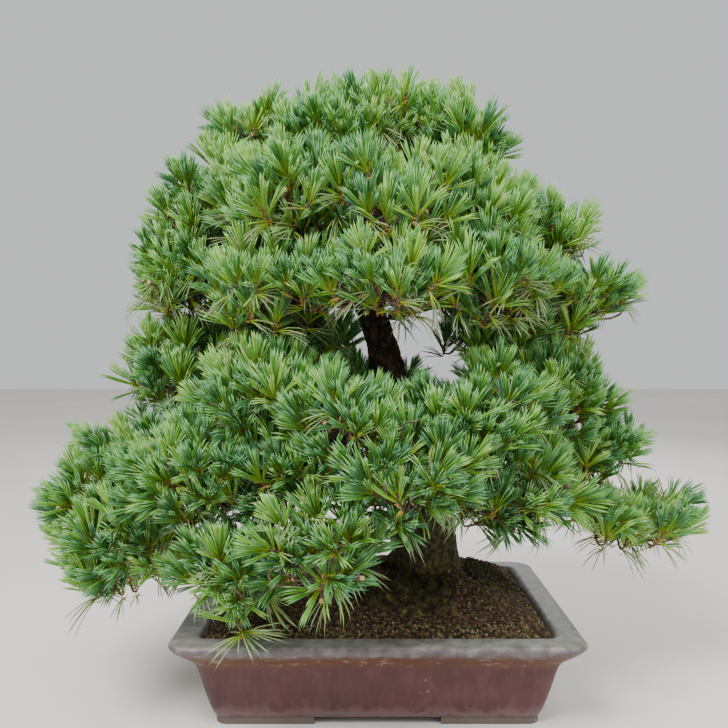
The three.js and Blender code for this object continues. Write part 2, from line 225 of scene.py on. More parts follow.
TREE_MIDDLE = (0, 0, 0.36)
soft_light("key", (-0.95, -1.35, 2.25), TREE_MIDDLE, 1.2, 92)
soft_light("fill", (1.5, -1.2, 1.4), TREE_MIDDLE, 1.5, 24)
soft_light("rim", (0.6, 1.8, 1.6), TREE_MIDDLE, 1.2, 22)

floor_material, tree, shader = start_material("pale_painted_floor", 0.6)
place = object_place(tree)
cloud = patches(tree, place, 600, detail=1.0)
shade = ramp(tree, cloud, [(0.3, "#dcd8d0"), (0.7, "#e4e1da")])
tree.links.new(shade, shader.inputs["Base Color"])
floor_bm = bmesh.new()
bmesh.ops.create_grid(floor_bm, x_segments=2, y_segments=2, size=6.0)
floor = bpy.data.objects.new("floor", mesh_from(floor_bm, "floor"))
bpy.context.scene.collection.objects.link(floor)
floor.data.materials.append(floor_material)
print("camera at", tuple(round(c, 3) for c in camera.location))

# %% [markdown]
# ## Unglazed clay
#
# The tray is stoneware fired without glaze: purple-brown, nearly matte, with a slight sheen where
# hands and water have polished it. Years of watering leave a grey-olive film on the lip, a rusty
# band just under it, and a pale mineral bloom near the foot. The lip's top is also painted
# lighter, as painted light, and its outer face painted darker and purple-grey, as painted shade.
# All of these follow height, so the masks are ramps of the object's Z, broken up with noise of a
# few millimetres.

# %% Clay material


def height_band(tree, place, low_mm, high_mm, ragged_mm, speckle):
    """Rises from 0 at the first height to 1 at the second, which may be the lower one, with an
    edge pushed up and down by noise."""
    parts = add(tree, "ShaderNodeSeparateXYZ", {"Vector": place})
    nudge = add(tree, "ShaderNodeMapRange", {"Value": speckle, "From Min": 0.3, "From Max": 0.7,
                                             "To Min": -ragged_mm * MM, "To Max": ragged_mm * MM})
    moved = add(tree, "ShaderNodeMath", {0: parts.outputs["Z"], 1: nudge.outputs["Result"]},
                operation="ADD")
    band = add(tree, "ShaderNodeMapRange", {"Value": moved.outputs[0], "From Min": low_mm * MM,
                                            "From Max": high_mm * MM},
               interpolation_type="SMOOTHSTEP")
    return band.outputs["Result"]


def times(tree, first, second):
    return add(tree, "ShaderNodeMath", {0: first, 1: second}, operation="MULTIPLY").outputs[0]


def over(tree, value, low, high):
    """0 where value is under low and 1 where it is over high."""
    node = add(tree, "ShaderNodeMapRange", {"Value": value, "From Min": low, "From Max": high})
    return node.outputs["Result"]


def clay_material():
    material, tree, shader = start_material("unglazed_stoneware", 0.5)
    place = object_place(tree)
    broad = patches(tree, place, 60, detail=3.0)
    fine = patches(tree, place, 12, detail=4.0)
    grit = patches(tree, place, 1.6)
    stretched = add(tree, "ShaderNodeMapping", {"Vector": place, "Scale": (1, 1, 0.22)})
    runs = patches(tree, stretched.outputs["Vector"], 7, detail=3.0)
    body = ramp(tree, broad, [(0.3, "#3c1c1d"), (0.5, "#4a2325"), (0.7, "#572c2e")])
    dusty = mixed(tree, times(tree, over(tree, runs, 0.45, 0.8), 0.2), body, linear("#765a58"))
    # water runs off the lip and leaves a rusty, chalky band in the hollow under it
    under_lip = times(tree, height_band(tree, place, 64, 72, 4, fine),
                      height_band(tree, place, 90, 80, 2, fine))
    rusty = mixed(tree, times(tree, under_lip, over(tree, broad, 0.2, 0.5)), dusty,
                  linear("#5a311c"))
    flat = add(tree, "ShaderNodeMapping", {"Vector": place, "Scale": (1, 1, 2.2)})
    drops = patches(tree, flat.outputs["Vector"], 13, detail=6.0, rough=0.68)
    chalk_band = times(tree, height_band(tree, place, 68, 74, 3, fine),
                       height_band(tree, place, 84, 78, 3, fine))
    chalk = times(tree, chalk_band, over(tree, drops, 0.54, 0.64))
    chalky = mixed(tree, times(tree, chalk, 0.6), rusty, linear("#b09c90"))
    # mineral bloom above the feet, grey-olive film on the feet themselves
    low = height_band(tree, place, 24, 12, 6, fine)
    bloom = mixed(tree, times(tree, low, over(tree, fine, 0.2, 0.9)), chalky,
                  linear("#7a6a6c"))
    feet = height_band(tree, place, 9.5, 7.5, 0.8, fine)
    damp = mixed(tree, times(tree, feet, 0.85), bloom, linear("#584f46"))
    # the lip carries a grey film from watering, olive-grey on top where water lies; its outer face
    # is painted darker and purple-grey as painted shade, and its top is painted lighter as painted
    # light
    face = height_band(tree, place, 79, 88, 3, fine)
    shaded_purple = ramp(tree, fine, [(0.3, "#50474a"), (0.5, "#645b5e"), (0.7, "#7c7477")])
    shade_faced = mixed(tree, face, damp, shaded_purple)
    # painted light: this band makes the lip's top lighter, as if lit from the sky, over its real
    # film
    top = height_band(tree, place, 92.5, 94.5, 0.6, fine)
    film_and_painted_light = ramp(tree, fine, [(0.3, "#5a5a50"), (0.5, "#74746d"), (0.68, "#8e8e8d")])
    worn = mixed(tree, times(tree, over(tree, broad, 0.5, 0.7), 0.5), film_and_painted_light, linear("#7d7069"))
    weathered_lit_and_shaded = mixed(tree, top, shade_faced, worn)
    speck_cells = add(tree, "ShaderNodeTexVoronoi", {"Vector": place, "Scale": 1 / (11 * MM)})
    speck = add(tree, "ShaderNodeMath", {0: speck_cells.outputs["Distance"], 1: 0.09},
                operation="LESS_THAN").outputs[0]
    scatter = times(tree, speck, over(tree, broad, 0.56, 0.6))
    specked = mixed(tree, times(tree, scatter, 0.6), weathered_lit_and_shaded, linear("#a99f9c"))
    tree.links.new(specked, shader.inputs["Base Color"])
    gloss = add(tree, "ShaderNodeMapRange", {"Value": fine, "To Min": 0.4, "To Max": 0.62})
    tree.links.new(gloss.outputs["Result"], shader.inputs["Roughness"])
    bump(tree, shader, grit, 0.25, 0.5)
    return material


CLAY = clay_material()

# %% [markdown]
# ## The tray
#
# The real tray was pressed in a mould: straight walls that lean out, a hollow neck, a wide lip
# with a rolled edge and four corner feet. It could be extruded from one outline, but the outline
# changes with height, so a block with rounded corners is cut into levels and each level is set
# to its own length and corner radius. The inside is the top face, inset and pushed down.

# %% Tray shape
tray_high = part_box("pot")[1]
LIP_X = tray_high.x
DEPTH_LESS = tray_high.x - tray_high.y  # half length less half depth, the same at every level
FOOT = 8 * MM
FOOT_WALL_MM = 24
RIM_TOP = tray_high.z
CORNER_SEGMENTS = 9
BLOCK_CORNER = 15 * MM


def respread(vertices, old, new):
    """Moves a ring from one (half length, corner radius) to another, each vertex keeping its
    own direction from the middle of its corner arc."""
    for vertex in vertices:
        side_x = math.copysign(1, vertex.co.x)
        side_y = math.copysign(1, vertex.co.y)
        middles = [
            Vector((side_x * (half_x - corner), side_y * (half_x - DEPTH_LESS - corner)))
            for half_x, corner in (old, new)
        ]
        away = (vertex.co.xy - middles[0]).normalized()
        vertex.co.xy = middles[1] + away * new[1]


def rounded_block(low, high):
    bm = bmesh.new()
    size = (2 * LIP_X, 2 * (LIP_X - DEPTH_LESS), high - low, 1)
    matrix = Matrix.Translation((0, 0, (low + high) / 2)) @ Matrix.Diagonal(size)
    bmesh.ops.create_cube(bm, size=1.0, matrix=matrix)
    upright = [e for e in bm.edges if abs(e.verts[0].co.z - e.verts[1].co.z) > MM]
    bmesh.ops.bevel(bm, geom=upright, offset=BLOCK_CORNER, affect="EDGES",
                    segments=CORNER_SEGMENTS, profile=0.5, material=-1)
    return bm


def set_levels(bm, levels):
    """Cuts the block at each inner level, then gives every level its own outline."""
    for height, _, _ in levels[1:-1]:
        bmesh.ops.bisect_plane(bm, geom=bm.verts[:] + bm.edges[:] + bm.faces[:],
                               plane_co=(0, 0, height * MM), plane_no=(0, 0, 1))
    for height, half_x, corner in levels:
        ring = [v for v in bm.verts if abs(v.co.z - height * MM) < 0.01 * MM]
        respread(ring, (LIP_X, BLOCK_CORNER), (half_x * MM, corner * MM))


# height, half length and corner radius of each level of the outer wall, in millimetres
WALL = [
    (8, 168.6, 13), (9.5, 170, 14), (13, 171.8, 14.5), (20, 174.2, 15), (30, 177, 15),
    (42, 180.2, 15), (54, 183, 15), (62, 185.2, 15), (66, 186.7, 15), (69, 188.4, 15),
    (71.5, 190.3, 15.5), (74, 192.7, 16), (76.5, 195.6, 17), (79, 198.7, 18),
    (81.5, 201.8, 19), (84, 204.7, 20), (86.5, 207.2, 21), (88.7, 209, 21.5), (90.8, 210, 22),
    (92.6, 209.7, 22), (94.2, 208.5, 21.5), (95.4, 206.5, 20.5), (95.9, 204.2, 19.5),
    (96, 201.5, 18),
]
# the inner edge of the lip and the inner wall, from the top down
INSIDE = [
    (96, 186.5, 12.5), (95.6, 184.8, 12), (94.6, 183.4, 12), (92, 181.6, 12), (84, 176, 12),
    (50, 168, 12), (24, 163, 11), (19, 160, 10),
]


def open_tray():
    bm = rounded_block(FOOT, RIM_TOP)
    set_levels(bm, WALL)
    top = max(bm.faces, key=lambda f: f.calc_center_median().z)
    bmesh.ops.inset_region(bm, faces=[top], thickness=4 * MM, use_even_offset=True)
    old = (WALL[-1][1] * MM, WALL[-1][2] * MM)
    for step, (height, half_x, corner) in enumerate(INSIDE):
        if step:
            pulled = bmesh.ops.extrude_face_region(bm, geom=[top])
            if top.is_valid:
                bmesh.ops.delete(bm, geom=[top], context="FACES_ONLY")
            top = next(g for g in pulled["geom"] if isinstance(g, bmesh.types.BMFace))
        new = (half_x * MM, corner * MM)
        respread(top.verts, old, new)
        for vertex in top.verts:
            vertex.co.z = height * MM
        old = new
    return mesh_from(bm, "open_tray", smooth=False)


# x, y and radius of each hole in the floor, in millimetres, and how many sides it is drawn with
DRAIN_HOLES = [(side * 95, 0, 17, 32) for side in (-1, 1)]
WIRE_HOLES = [(sx * 42, sy * 52, 3.5, 16) for sx in (-1, 1) for sy in (-1, 1)]


def drill(mesh):
    """Cuts the two drainage holes and the four wire holes through the tray's floor."""
    bm = bmesh.new()
    for x, y, radius, segments in DRAIN_HOLES + WIRE_HOLES:
        bmesh.ops.create_cone(bm, cap_ends=True, segments=segments, radius1=radius * MM,
                              radius2=radius * MM, depth=60 * MM,
                              matrix=Matrix.Translation((x * MM, y * MM, 14 * MM)))
    cutter = bpy.data.objects.new("cutter", mesh_from(bm, "cutter", smooth=False))
    bpy.context.scene.collection.objects.link(cutter)
    drilled = with_modifiers(mesh, ("BOOLEAN", {"object": cutter, "operation": "DIFFERENCE"}))
    bpy.data.objects.remove(cutter)
    return drilled


def foot_meshes():
    """One band round the bottom, given its thickness, then cut into its four corners."""
    bm = rounded_block(0, FOOT + MM)
    set_levels(bm, [(0, 167, 11), (1.2, 168, 12), (9, 168, 12)])
    ends = [f for f in bm.faces if abs(f.normal.z) > 0.9]
    bmesh.ops.delete(bm, geom=ends, context="FACES_ONLY")
    bmesh.ops.solidify(bm, geom=bm.faces[:], thickness=FOOT_WALL_MM * MM)
    for side_x in (-1, 1):
        for side_y in (-1, 1):
            corner = bm.copy()
            for half_gap, axis in ((65.5, Vector((side_x, 0, 0))), (42, Vector((0, side_y, 0)))):
                bmesh.ops.bisect_plane(corner, geom=corner.verts[:] + corner.edges[:]
                                       + corner.faces[:], plane_co=axis * half_gap * MM,
                                       plane_no=axis, clear_inner=True)
                bmesh.ops.holes_fill(corner, edges=corner.edges[:])
            bmesh.ops.recalc_face_normals(corner, faces=corner.faces[:])
            yield mesh_from(corner, "foot", smooth=False)
    bm.free()


tray_bm = bmesh.new()
tray_bm.from_mesh(drill(open_tray()))
for foot in foot_meshes():
    tray_bm.from_mesh(foot)
tray = place_piece("clay_tray", mesh_from(tray_bm, "clay_tray", sharp_degrees=38), CLAY,
                   ["pot"])
print("tray faces", len(tray.data.polygons), "size",
      [round(d, 4) for d in tray.dimensions])

# %% [markdown]
# ## Under the soil
#
# Plastic mesh over each drainage hole keeps the soil in, and a bent wire holds it. They are
# already right in the CAD model, so they only get their finish: moulded plastic, anodised wire,
# and crushed stone for the coarse layer above them.

# %% Hidden pieces


def plain_finish(name, hex_dark, hex_light, size_mm, roughness, **settings):
    """A finish with soft blotches between two close colours and a fine bump."""
    material, tree, shader = start_material(name, roughness, **settings)
    blotch = patches(tree, object_place(tree), size_mm, detail=3.0)
    tree.links.new(ramp(tree, blotch, [(0.3, hex_dark), (0.7, hex_light)]),
                   shader.inputs["Base Color"])
    bump(tree, shader, blotch, 0.1 * size_mm, 0.4)
    return material


def finish_node(name, material):
    nodes[name].data.materials.clear()
    nodes[name].data.materials.append(material)


mesh_plastic = plain_finish("moulded_polypropylene", "#1b1f1e", "#2c3231", 3, 0.55)
clip_wire = plain_finish("anodised_aluminium_wire", "#7a4d33", "#a4704e", 2, 0.35, Metallic=1.0)
crushed_stone = plain_finish("crushed_lava_and_pumice", "#4a4038", "#a79c8c", 4, 0.9)
for side in ("left", "right"):
    finish_node(f"drain_screen_{side}", mesh_plastic)
    finish_node(f"screen_clip_{side}", clip_wire)
finish_node("drainage_layer", crushed_stone)

# %% [markdown]
# ## Bark
#
# Old pine bark splits into flaky plates, 8 to 15 mm across and longer than they are wide, dark
# brown with paler edges where flakes have come off, and green with algae near the damp soil. Each
# CAD limb is copied, given an even skin of small faces and pushed in along the cracks between
# plates, so the plates are real relief that also catches light at the outline.

# %% Bark materials
PLATE_SQUASH = 0.45  # the pattern's height is read this much smaller, so plates grow longer


def bark_material(name, dark, middle, pale, plate_mm, mossy):
    material, tree, shader = start_material(name, 0.92)
    place = object_place(tree)
    long_way = add(tree, "ShaderNodeMapping", {"Vector": place, "Scale": (1, 1, PLATE_SQUASH)})
    plates = add(tree, "ShaderNodeTexVoronoi", {"Vector": long_way.outputs["Vector"],
                                                "Scale": 1 / (plate_mm * MM)},
                 feature="DISTANCE_TO_EDGE").outputs["Distance"]
    flakes = patches(tree, place, plate_mm * 0.5, detail=6.0, rough=0.65)
    cloud = patches(tree, place, plate_mm * 2.5, detail=3.0)
    surface = ramp(tree, flakes, [(0.32, dark), (0.5, middle), (0.68, pale)])
    # painted shade: the cracks between plates are painted near-black, as the shade that falls in
    # them
    crack_shaded = mixed(tree, over(tree, plates, 0.0, 0.12), linear("#140e0a"), surface)
    shaded = mixed(tree, times(tree, over(tree, cloud, 0.45, 0.7), 0.5), crack_shaded, linear(dark))
    if mossy:
        # algae, full near the soil and gone well up the trunk
        low = add(tree, "ShaderNodeMath",
                  {0: 1.0, 1: height_band(tree, place, 140, 340, 60, cloud)},
                  operation="SUBTRACT").outputs[0]
        patchy = times(tree, low, over(tree, flakes, 0.45, 0.6))
        shaded = mixed(tree, times(tree, patchy, 0.8), shaded, linear("#474d1d"))
    tree.links.new(shaded, shader.inputs["Base Color"])
    bump(tree, shader, flakes, 0.8, 0.7)
    return material


TRUNK_BARK = bark_material("old_pine_bark", "#22150c", "#42301f", "#6e563e", 11, mossy=True)
BRANCH_BARK = bark_material("young_pine_bark", "#3a2e25", "#5c4c3f", "#83725f", 5, mossy=False)
TWIG_BARK = bark_material("pine_twig_bark", "#4a3a2c", "#75614d", "#9c8a72", 3, mossy=False)

# %% [markdown]
# ## Relief of the bark
#
# The trunk and branches of the CAD model are smooth solids with long thin triangles, which can't
# be pushed about. The Remesh modifier gives each an even skin of small square faces instead, and
# cell noise on that skin says how far every point is from the edge of its plate. The plates wander
# with vector noise, which is given a seed, because without one it shifts with every run.

# %% Bark skins
noise.seed_set(9)


def even_skin(node, voxel_mm):
    bm = bmesh.new()
    bm.from_mesh(nodes[node].data)
    bmesh.ops.remove_doubles(bm, verts=bm.verts, dist=0.001 * MM)
    mesh = mesh_from(bm, node + "_skin")
    return with_modifiers(
        mesh,
        ("REMESH", {"mode": "VOXEL", "voxel_size": voxel_mm * MM}),
        ("SMOOTH", {"factor": 0.5, "iterations": 8}),
    )


def crack(mesh, plate_mm, depth_mm, wander_mm):
    """Pushes the skin in between plates and lets each plate stand a little differently."""
    # the normals are kept first: reading one after a vertex has moved works them all out again
    normals = [vertex.normal.copy() for vertex in mesh.vertices]
    for vertex, normal in zip(mesh.vertices, normals):
        drift = noise.noise_vector(vertex.co / (wander_mm * MM)) * 0.35
        flattened = Vector((vertex.co.x, vertex.co.y, vertex.co.z * PLATE_SQUASH))
        place = flattened / (plate_mm * MM) + drift
        distances, points = noise.voronoi(place)
        gap = min((distances[1] - distances[0]) / 0.28, 1.0)
        level = noise.noise(points[0] * 7.3)
        rough = noise.fractal(vertex.co / (3.5 * MM), 1.0, 2.1, 3)
        lift = depth_mm * (gap - 0.75 + 0.35 * level + 0.22 * rough)
        vertex.co += normal * lift * MM
    mesh.shade_smooth()
    return mesh


trunk_skin = crack(even_skin("trunk", 2.3), plate_mm=11, depth_mm=2.2, wander_mm=14)
place_piece("bark_trunk", trunk_skin, TRUNK_BARK, ["trunk"])
print("trunk skin faces", len(trunk_skin.polygons))
for name in branches:
    skin = crack(even_skin(name, 2.1), plate_mm=5, depth_mm=0.7, wander_mm=8)
    place_piece("bark_" + name, skin, BRANCH_BARK, [name])

# %% [markdown]
# ## Soil
#
# Bonsai soil is sifted grains of clay, lava and pumice, 2 to 5 mm across. The CAD solid keeps the
# mound's shape and gets a dark granular finish, and loose stones lie all over it: mostly dark,
# some brown, some tan, each with only a few faces because there are thousands.

# %% Soil and stones


def grainy_material(name, colours, size_mm):
    """Dark, middle and pale grains of about size_mm, with a relief nearly as deep."""
    material, tree, shader = start_material(name, 0.95)
    place = object_place(tree)
    tint = patches(tree, place, size_mm, detail=3.0, rough=0.6)
    tree.links.new(ramp(tree, tint, list(zip((0.36, 0.5, 0.64), colours))),
                   shader.inputs["Base Color"])
    bump(tree, shader, patches(tree, place, size_mm, detail=5.0, rough=0.7), size_mm * 0.8, 1.0)
    return material


finish_node("soil", grainy_material("damp_soil", ("#1a110a", "#402e1f", "#7a5e3c"), 4))
# name: material, number all over, number along the front edge, which is washed clean by watering
STONE_KINDS = {
    "stones_dark": (grainy_material("lava_grit", ("#1c130a", "#3a2c1a", "#5c4a2e"), 3), 3300, 150),
    "stones_brown": (grainy_material("baked_clay_grit", ("#46341a", "#6c5830", "#94825a"), 4),
                     1800, 250),
    "stones_tan": (grainy_material("pumice_grit", ("#585030", "#7c764e", "#aaa47e"), 4), 640, 380),
}
SOIL_LEAST_Z = 88 * MM
FRONT_STRIP_Y = -112 * MM


def stone_shapes(rng):
    shapes = []
    for _ in range(6):
        bm = bmesh.new()
        bmesh.ops.create_icosphere(bm, subdivisions=1, radius=1.0)
        for vertex in bm.verts:
            vertex.co *= rng.uniform(0.75, 1.2)
        bmesh.ops.scale(bm, verts=bm.verts, vec=(1.0, rng.uniform(0.7, 1), rng.uniform(0.5, 0.8)))
        shapes.append(mesh_from(bm, "stone"))
    return shapes


def upward_triangles(mesh, least_z, least_slope=0.3):
    """Corner triples of the mesh's upward faces, and their areas, for a random pick."""
    found, areas = [], []
    for face in mesh.polygons:
        if face.normal.z > least_slope and face.center.z > least_z:
            found.append([mesh.vertices[i].co for i in face.vertices[:3]])
            areas.append(face.area)
    return found, areas


def point_on(triangle, rng):
    a, b = sorted((rng.random(), rng.random()))
    return triangle[0] * a + triangle[1] * (b - a) + triangle[2] * (1 - b)


rng = random.Random(11)
stones = stone_shapes(rng)
ground, ground_areas = upward_triangles(nodes["soil"].data, SOIL_LEAST_Z)
front_areas = [area if triangle[0].y < FRONT_STRIP_Y else 0
               for triangle, area in zip(ground, ground_areas)]
for name, (material, count, front_count) in STONE_KINDS.items():
    bm = bmesh.new()
    picked = rng.choices(ground, ground_areas, k=count)
    picked += rng.choices(ground, front_areas, k=front_count)
    for triangle in picked:
        radius = rng.triangular(0.7, 2.6, 1.1) * MM
        spot = point_on(triangle, rng) + Vector((0, 0, radius * rng.uniform(-0.2, 0.4)))
        tilt = Vector((rng.uniform(-1, 1), rng.uniform(-1, 1), 1.4)).normalized()
        matrix = Matrix.Translation(spot) @ turned_to(tilt, rng.uniform(0, FULL_TURN))
        stamp(bm, rng.choice(stones), matrix @ Matrix.Scale(radius, 4))
    place_piece(name, mesh_from(bm, name), material)
print("stones", sum(count + front for _, count, front in STONE_KINDS.values()))

# %% [markdown]
# ## Moss
#
# Cushion moss is a springy carpet of shoots 2 to 4 mm tall, yellow-green where it is growing and
# brown where it has dried. The CAD patch gives the outline; its skin is made lumpy and covered in
# short pointed shoots.

# %% Moss


def moss_material():
    material, tree, shader = start_material("cushion_moss", 0.95)
    place = object_place(tree)
    tint = patches(tree, place, 9, detail=4.0, rough=0.65)
    colour = ramp(tree, tint, [(0.36, "#1c140b"), (0.48, "#352c16"), (0.6, "#4c4c1e"),
                               (0.74, "#7a7a34")])
    tree.links.new(colour, shader.inputs["Base Color"])
    bump(tree, shader, patches(tree, place, 1.5), 0.6, 0.7)
    return material


def moss_shoot():
    bm = bmesh.new()
    bmesh.ops.create_cone(bm, cap_ends=True, segments=3, radius1=0.6 * MM, radius2=0.1 * MM,
                          depth=3.2 * MM, matrix=Matrix.Translation((0, 0, 1.2 * MM)))
    return mesh_from(bm, "moss_shoot")


MOSS = moss_material()
MOSS_SIDES = ("front", "left", "right")
SHOOTS_PER_PATCH = 1200
shoot = moss_shoot()
rng = random.Random(5)
for side in MOSS_SIDES:
    skin = even_skin("moss_" + side, 1.6)
    for vertex in skin.vertices:
        lump = noise.fractal(vertex.co / (9 * MM), 1.0, 2.0, 4)
        vertex.co.z += (lump * 3.4 - 2.4) * MM
    skin.shade_smooth()
    tops, areas = upward_triangles(skin, 90 * MM, 0.2)
    bm = bmesh.new()
    bm.from_mesh(skin)
    for triangle in rng.choices(tops, areas, k=SHOOTS_PER_PATCH):
        lean = Vector((rng.uniform(-0.6, 0.6), rng.uniform(-0.6, 0.6), 1)).normalized()
        matrix = Matrix.Translation(point_on(triangle, rng)) @ turned_to(lean, rng.random() * 6)
        stamp(bm, shoot, matrix @ Matrix.Scale(rng.uniform(0.6, 1.2), 4))
    place_piece("moss_cushion_" + side, mesh_from(bm, "moss_cushion_" + side), MOSS,
                ["moss_" + side])
print("moss patches", len(MOSS_SIDES), "with shoots", len(MOSS_SIDES) * SHOOTS_PER_PATCH)

# %% [markdown]
# ## One needle
#
# Five needles grow from one point and fill a round bundle between them, so each is a wedge in
# section: a rounded outer face, bright green, and two flat inner faces that are blue-white with
# rows of breathing pores. A three-sided prism is therefore the true shape. It is cut across once
# or twice, so that it can bend, and its last ring is drawn in to the tip. Its UV map holds two
# facts for the material: U is how light this needle is, and V is the way along it, in the lower
# half of the map for the outer face and the upper half for the inner ones.

# %% Needle shape
NEEDLE_LENGTH = 43 * MM
NEEDLE_RADIUS = 0.86 * MM
NEEDLE_MAP = "OFBake"
TONE_WIDTH = 0.012  # how far a face spreads to either side of its needle's lightness
OUTER_V, INNER_V, V_SPAN = 0.02, 0.52, 0.46


def make_needle(cuts):
    bm = bmesh.new()
    bmesh.ops.create_cone(bm, cap_ends=True, segments=3, radius1=NEEDLE_RADIUS,
                          radius2=NEEDLE_RADIUS, depth=NEEDLE_LENGTH,
                          matrix=Matrix.Translation((0, 0, NEEDLE_LENGTH / 2)))
    bmesh.ops.rotate(bm, verts=bm.verts, matrix=Matrix.Rotation(-math.pi / 6, 3, "Z"))
    for share in cuts:
        bmesh.ops.bisect_plane(bm, geom=bm.verts[:] + bm.edges[:] + bm.faces[:],
                               plane_co=(0, 0, share * NEEDLE_LENGTH), plane_no=(0, 0, 1))
    for vertex in bm.verts:
        along = vertex.co.z / NEEDLE_LENGTH
        if along > 0.99:
            vertex.co.xy *= 0.1
        elif along < 0.01:
            vertex.co.xy *= 0.7
    bmesh.ops.remove_doubles(bm, verts=bm.verts, dist=0.25 * NEEDLE_RADIUS)
    bm.normal_update()
    return bm


def map_needle(bm, tone):
    """Writes lightness across and the way along into the UV map."""
    uv = bm.loops.layers.uv.new(NEEDLE_MAP)
    for face in bm.faces:
        outer = face.normal.x > 0.5 or face.normal.z < -0.7
        face_middle = face.calc_center_median()
        for loop in face.loops:
            along = min(max(loop.vert.co.z / NEEDLE_LENGTH, 0), 1)
            across = math.copysign(TONE_WIDTH, loop.vert.co.y - face_middle.y)
            loop[uv].uv = (tone + across, (OUTER_V if outer else INNER_V) + V_SPAN * along)


sample = make_needle((0.5, 0.86))
print("faces of a needle cut twice", len(sample.faces))
sample.free()

# %% [markdown]
# ## A tuft
#
# The bundles sit round the last 15 mm of each shoot, like a shaving brush: the youngest stand
# nearly straight up round the bud, the next lean out, and last year's hang below, grey and limp,
# one on most tufts and five on a tired one. They follow the golden angle, as leaves round a stem
# do, so no two lie over each other. Six different tufts in each of four grades are enough for the
# whole tree. Two cuts across a needle bend it more smoothly than one, and go to the fresh grade,
# which is seen best, and to the hanging needles, which bend most.

# %% Tufts
GOLDEN_ANGLE = math.pi * (3 - math.sqrt(5))
TUFTS_PER_GRADE = 6
# how light the needles of each grade are, from and to; new bundles; old bundles; and the cuts
# across a needle, as shares of its length
GRADES = {
    "deep": (0.02, 0.42, 14, 1, (0.78,)),
    "green": (0.15, 0.66, 15, 1, (0.78,)),
    "fresh": (0.35, 0.82, 16, 1, (0.5, 0.86)),
    "limp": (0.3, 0.6, 9, 5, (0.78,)),
}


def add_bundle(bm, place, tone, opening, sag_mm, cuts, rng):
    """Five needles that part from one point and bend away from the shoot together."""
    roll = rng.uniform(0, FULL_TURN)
    size = rng.uniform(0.82, 1.0)
    bundle_sag = rng.uniform(*sag_mm)
    for number in range(5):
        needle = make_needle(cuts)
        map_needle(needle, min(max(tone + rng.uniform(-0.08, 0.08), 0.015), 0.985))
        around = Matrix.Rotation(roll + number * math.radians(72), 4, "Z")
        parted = Matrix.Rotation(math.radians(rng.uniform(*opening)), 4, "Y")
        scale = Matrix.Scale(size * rng.uniform(0.88, 1.0), 4)
        bmesh.ops.transform(needle, matrix=around @ parted @ scale, verts=needle.verts)
        sag = (bundle_sag + rng.uniform(-1.5, 1.5)) * MM
        for vertex in needle.verts:
            vertex.co.x += sag * (vertex.co.z / NEEDLE_LENGTH) ** 2
        mesh = mesh_from(needle, "needle")
        stamp(bm, mesh, place)
        bpy.data.meshes.remove(mesh)


def add_scale(bm, place, width_mm, length_mm, tone, along):
    """A bud, or one papery scale left from an old one: a small blunt cone."""
    scale = bmesh.new()
    bmesh.ops.create_cone(scale, cap_ends=True, segments=5, radius1=width_mm / 2 * MM,
                          radius2=0.3 * MM, depth=length_mm * MM,
                          matrix=Matrix.Translation((0, 0, length_mm / 2 * MM)))
    uv = scale.loops.layers.uv.new(NEEDLE_MAP)
    for face in scale.faces:
        middle = face.calc_center_median()
        for loop in face.loops:
            turn = math.copysign(TONE_WIDTH, (loop.vert.co - middle).cross((0, 0, 1)).dot(middle))
            loop[uv].uv = (tone + turn, along + 2 * loop.vert.co.z)
    mesh = mesh_from(scale, "scale")
    stamp(bm, mesh, place)
    bpy.data.meshes.remove(mesh)


def leaning(height_mm, turn, lean):
    """A place on the shoot's axis, turned round it and leaned away from it, in radians."""
    place = Matrix.Translation((0, 0, height_mm * MM)) @ Matrix.Rotation(turn, 4, "Z")
    return place @ Matrix.Rotation(lean, 4, "Y")


def make_tuft(grade, rng):
    light_from, light_to, new_bundles, old_bundles, cuts = GRADES[grade]
    bm = bmesh.new()
    for number in range(new_bundles):
        # the youngest bundle has the smallest share: it sits highest and leans out least
        share = (number + 0.5) / new_bundles
        lean = math.radians(3 + 47 * share ** 0.9 + rng.uniform(-7, 7))
        place = leaning(15 - 14 * share, number * GOLDEN_ANGLE + rng.uniform(-0.3, 0.3), lean)
        tone = rng.uniform(light_from, light_to)
        add_bundle(bm, place, tone, (1.5, 6.5), (-7, 4 + 9 * share), cuts, rng)
    for _ in range(old_bundles):
        place = leaning(rng.uniform(-6, 0), rng.uniform(0, FULL_TURN),
                        math.radians(rng.uniform(70, 112)))
        add_bundle(bm, place, rng.uniform(0.84, 0.97), (4, 22), (6, 26), (0.4, 0.75), rng)
    add_scale(bm, leaning(9, 0, 0), 3.2, 8, rng.uniform(0.1, 0.9), 0.03)
    for _ in range(4):
        place = leaning(rng.uniform(-7, 3), rng.uniform(0, FULL_TURN),
                        math.radians(rng.uniform(35, 95)))
        width_mm, length_mm = rng.uniform(1.3, 2.3), rng.uniform(4, 7)
        add_scale(bm, place, width_mm, length_mm, rng.uniform(0.05, 0.95), 0.02)
    return mesh_from(bm, "tuft_" + grade)


rng = random.Random(21)
tufts = {grade: [make_tuft(grade, rng) for _ in range(TUFTS_PER_GRADE)] for grade in GRADES}
print("tuft faces", {grade: len(kinds[0].polygons) for grade, kinds in tufts.items()})

# %% [markdown]
# ## Needle colour
#
# A needle is waxy and half glossy. The foot of each is wrapped in an orange-brown papery sheath;
# above it the needle is yellow-green, then green, and a little bluer at the tip. The inner faces
# carry the white pore lines, which at this size read as one blue-grey colour.

# %% Needle material


